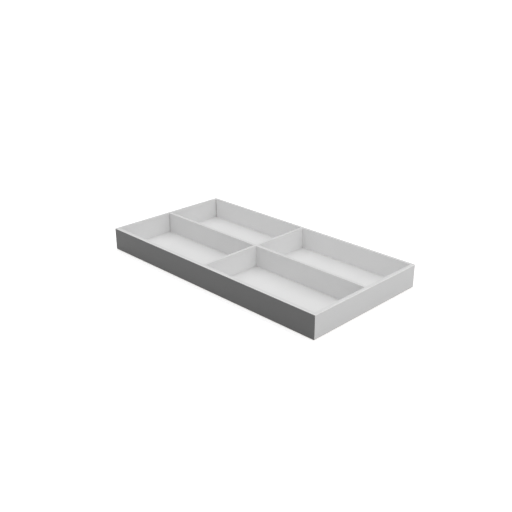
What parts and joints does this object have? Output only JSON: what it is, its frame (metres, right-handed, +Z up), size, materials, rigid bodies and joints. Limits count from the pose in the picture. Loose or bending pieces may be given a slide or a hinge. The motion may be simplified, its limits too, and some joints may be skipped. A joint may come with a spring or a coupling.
{
  "type": "drawer organizer insert",
  "caption": "Shallow rectangular drawer organizer tray with a dark faced front wall, a pinned base panel and lift-out crossing dividers that part it into equal compartments.",
  "frame": {"origin": "on the surface that the tray stands on, under the middle of its outline", "axes": "+X along the length, towards the right end wall; +Y across the width, from the dark faced front wall to the back wall; +Z up"},
  "size_m": [0.6, 0.31, 0.0515],
  "materials": {
    "light_board": "fibreboard with a light grey melamine face, satin, fine pebbled texture, slightly worn along the edges; the outer faces of the walls a deeper light grey, about 0.52",
    "edge_band": "light grey plastic edge band, satin, rounded over, a little shinier than the board",
    "dark_facing": "dark grey laminate facing, satin, fine pebbled texture",
    "raw_wood": "raw brown hardboard, hidden in the corners",
    "base_board": "thin hardboard, light grey lacquer on top, raw brown underneath with a screen print",
    "pin_steel": "bright steel pins, a little tarnished",
    "pad_rubber": "black anti-slip foam rubber with two pressed rings"
  },
  "bodies": {
    "tray": {"front_wall": "light_board", "right_wall": "light_board", "back_wall": "light_board", "left_wall": "light_board", "front_facing": "dark_facing", "spline_front_left": "raw_wood", "spline_front_right": "raw_wood", "spline_back_right": "raw_wood", "spline_back_left": "raw_wood", "front_edge_band": "edge_band", "right_edge_band": "edge_band", "back_edge_band": "edge_band", "left_edge_band": "edge_band", "base_panel": "base_board", "base_pins": "pin_steel", "pad_front_left": "pad_rubber", "pad_front_right": "pad_rubber", "pad_back_right": "pad_rubber", "pad_back_left": "pad_rubber"},
    "long_divider": {"long_divider": "light_board", "long_divider_band_left": "edge_band", "long_divider_band_right": "edge_band"},
    "cross_divider": {"cross_divider": "light_board", "cross_divider_band": "edge_band"}
  },
  "joints": [
    {"name": "long_divider_lift", "type": "slide", "parent": "tray", "child": "long_divider", "axis": [0, 0, 1], "range_m": [0, 0.06]},
    {"name": "cross_divider_lift", "type": "slide", "parent": "long_divider", "child": "cross_divider", "axis": [0, 0, 1], "range_m": [0, 0.06]}
  ]
}
